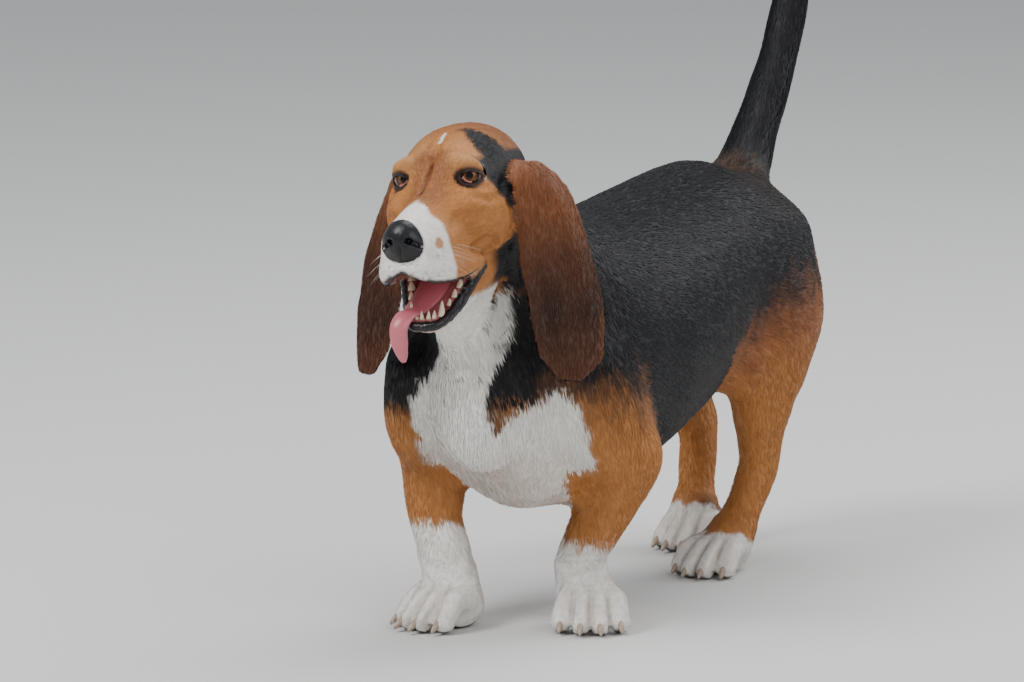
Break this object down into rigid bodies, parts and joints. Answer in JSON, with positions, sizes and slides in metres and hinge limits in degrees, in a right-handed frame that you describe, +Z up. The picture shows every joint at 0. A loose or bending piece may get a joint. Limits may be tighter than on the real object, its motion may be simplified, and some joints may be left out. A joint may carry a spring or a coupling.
{
  "type": "basset hound",
  "caption": "Standing tricolour basset hound, a low, long, heavy-boned scent hound with hanging ears, mouth open and tail raised.",
  "frame": {"origin": "on the floor, under the middle of the dog's box", "axes": "+Z up; the dog faces -Y, and its left side is +X"},
  "size_m": [0.2354, 0.8626, 0.6427],
  "materials": {
    "black_coat": "short glossy fur",
    "tan_coat": "short fur",
    "chestnut_coat": "short soft fur",
    "white_coat": "short fur",
    "nose_skin": "moist pebbled skin",
    "tongue": "wet",
    "eye": "wet"
  },
  "bodies": {
    "root": {"torso": "black_coat", "neck": "white_coat", "head": "tan_coat", "lower_jaw": "white_coat", "nose": "nose_skin", "tongue": "tongue", "left_eye": "eye", "right_eye": "eye", "left_ear": "chestnut_coat", "right_ear": "chestnut_coat", "tail": "black_coat", "left_foreleg": "tan_coat", "right_foreleg": "tan_coat", "left_fore_paw": "white_coat", "right_fore_paw": "white_coat", "left_hind_leg": "tan_coat", "right_hind_leg": "tan_coat", "left_hind_paw": "white_coat", "right_hind_paw": "white_coat"}
  },
  "joints": []
}
